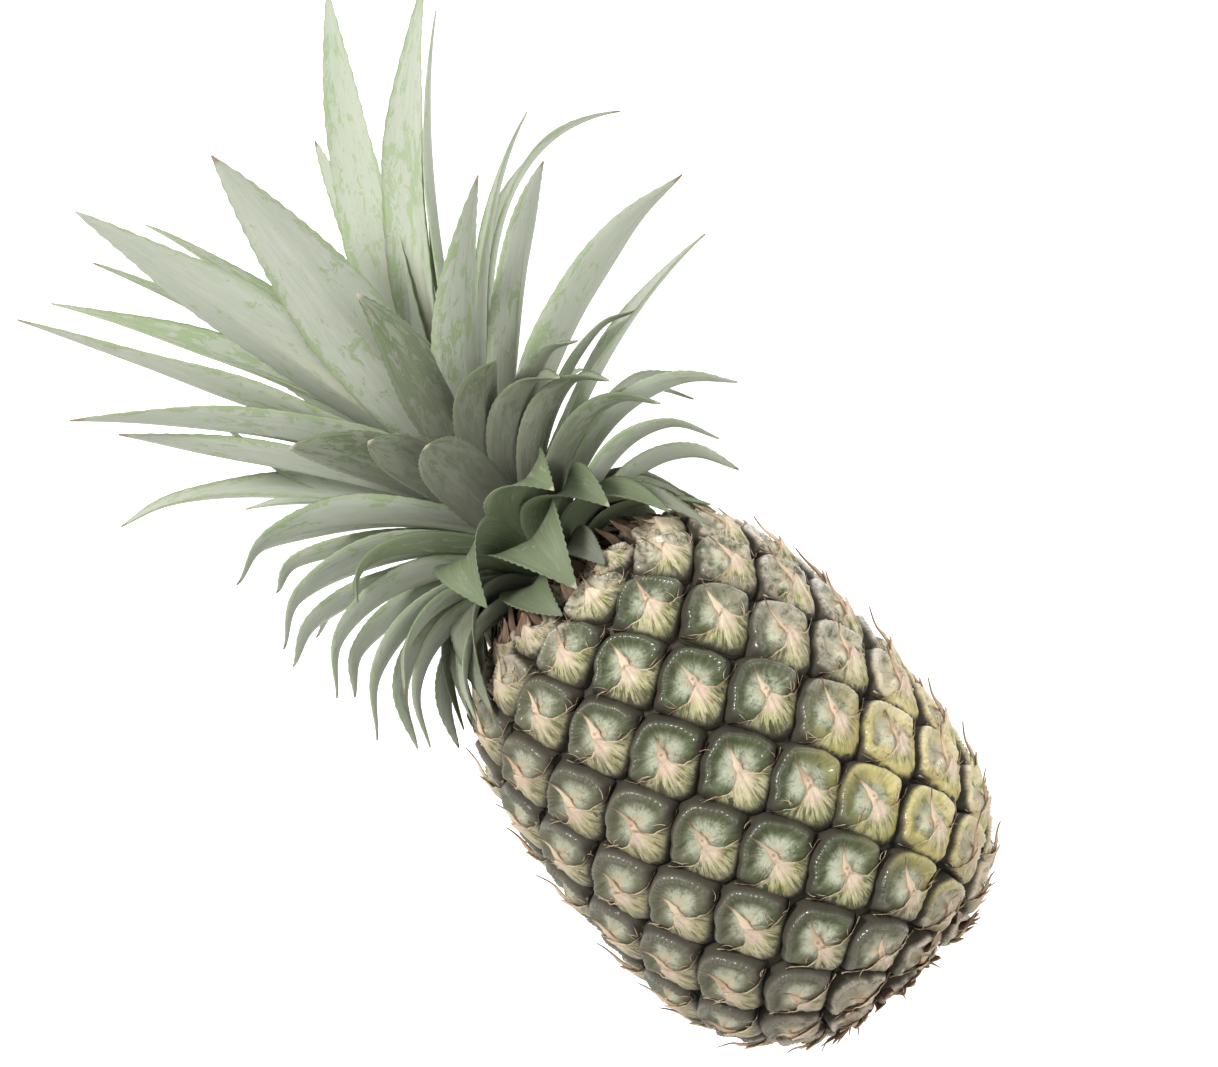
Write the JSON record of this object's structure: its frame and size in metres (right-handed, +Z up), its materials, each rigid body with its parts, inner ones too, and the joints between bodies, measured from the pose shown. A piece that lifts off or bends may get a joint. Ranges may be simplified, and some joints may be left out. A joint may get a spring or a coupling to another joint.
{
  "type": "pineapple",
  "caption": "Whole pineapple lying on its side: a barrel of fused fruitlets with a cut stalk and its crown of long, channelled, pointed leaves.",
  "frame": {"origin": "centre of the whole part's box, on the surface it lies on", "axes": "+X along the fruit from the cut base to the crown, +Z up from the surface it lies on, +Y across"},
  "size_m": [0.3462, 0.2, 0.1242],
  "materials": {
    "rind": "waxy, domed fruitlets",
    "stalk": "dry, fibrous cut end",
    "stem": "pale, fibrous",
    "silver": "grey-green leaf with a silvery bloom",
    "crown": "grey-green leaf with a silvery bloom",
    "fresh": "green leaf, inner face"
  },
  "bodies": {
    "root": {"crown_stem": "stem", "cut_stalk": "stalk", "front_leaf_01": "crown", "front_leaf_02": "crown", "front_leaf_03": "crown", "front_leaf_04": "crown", "front_leaf_05": "crown", "front_leaf_06": "crown", "front_leaf_07": "crown", "fruit": "rind", "inner_leaf_01": "silver", "inner_leaf_02": "silver", "inner_leaf_03": "silver", "inner_leaf_04": "silver", "inner_leaf_05": "silver", "inner_leaf_06": "silver", "inner_leaf_07": "silver", "inner_leaf_08": "silver", "inner_leaf_09": "silver", "inner_leaf_10": "silver", "inner_leaf_11": "silver", "inner_leaf_12": "silver", "inner_leaf_13": "silver", "recurved_leaf_01": "fresh", "recurved_leaf_02": "fresh", "recurved_leaf_03": "fresh", "recurved_leaf_04": "fresh", "recurved_leaf_05": "fresh", "recurved_leaf_06": "fresh", "recurved_leaf_07": "fresh", "side_leaf_01": "crown", "side_leaf_02": "crown", "side_leaf_03": "crown", "side_leaf_04": "crown", "side_leaf_05": "crown", "side_leaf_06": "crown", "side_leaf_07": "crown", "side_leaf_08": "crown", "side_leaf_09": "crown", "side_leaf_10": "crown", "side_leaf_11": "crown", "side_leaf_12": "crown", "side_leaf_13": "crown", "side_leaf_14": "crown", "side_leaf_15": "crown", "side_leaf_16": "crown", "side_leaf_17": "crown", "side_leaf_18": "crown", "side_leaf_19": "crown", "side_leaf_20": "crown", "side_leaf_21": "crown", "side_leaf_22": "crown", "under_leaf_01": "crown", "under_leaf_02": "crown", "under_leaf_03": "crown", "under_leaf_04": "crown", "under_leaf_05": "crown", "under_leaf_06": "crown", "under_leaf_07": "crown", "under_leaf_08": "crown"}
  },
  "joints": []
}
